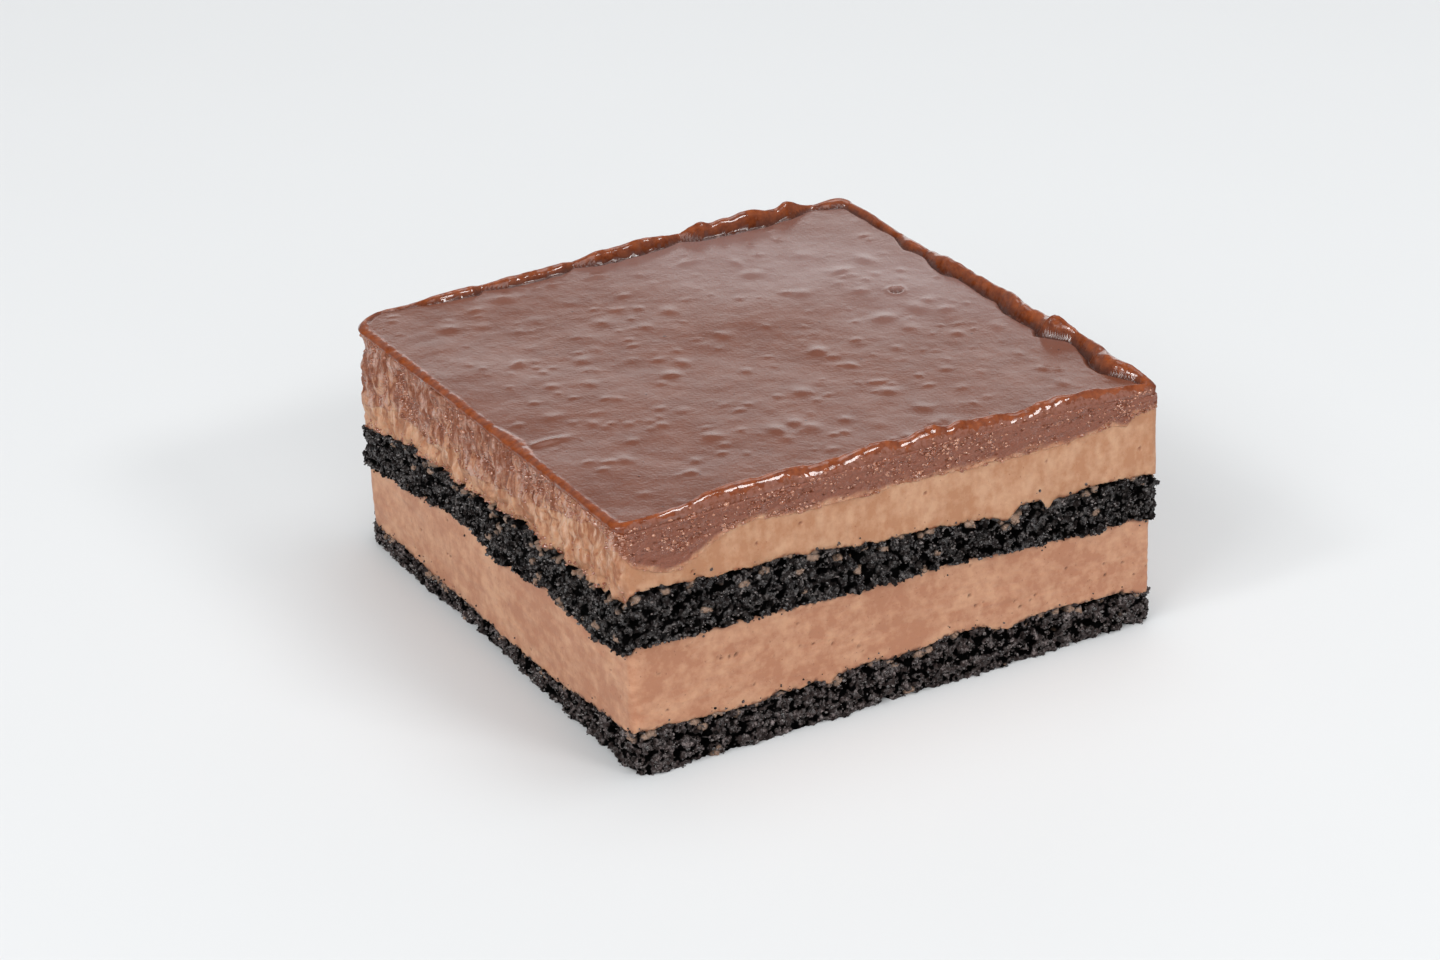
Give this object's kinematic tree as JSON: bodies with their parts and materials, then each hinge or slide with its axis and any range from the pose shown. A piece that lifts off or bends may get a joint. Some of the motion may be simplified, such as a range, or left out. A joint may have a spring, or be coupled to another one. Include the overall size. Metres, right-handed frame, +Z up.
{
  "type": "chocolate mousse cake square",
  "caption": "Square cut of layered chocolate mousse cake: dark sponge, mousse, sponge and mousse under smeared ganache and a thin glaze with a rolled, uneven rim.",
  "frame": {"origin": "middle of the foot, on the surface that the cake rests on", "axes": "+Z up; the broad clean cut face looks along -Y and the smeared cut face along -X"},
  "size_m": [0.0781, 0.0751, 0.0352],
  "materials": {
    "bottom_sponge": "near black, moist torn cocoa crumb",
    "lower_mousse": "pale milk chocolate mousse, soft sheen, drawn level by the knife",
    "middle_sponge": "near black, moist torn cocoa crumb with small wet glints",
    "upper_mousse": "pale milk chocolate mousse, soft sheen, faint upright knife strokes",
    "ganache": "mauve brown ganache, grainy, with wet specks",
    "glaze": "smooth poured chocolate glaze, satin gloss, low lumps"
  },
  "bodies": {
    "root": {"sponge_bottom": "bottom_sponge", "mousse_lower": "lower_mousse", "sponge_middle": "middle_sponge", "mousse_upper": "upper_mousse", "ganache": "ganache", "glaze": "glaze"}
  },
  "joints": []
}
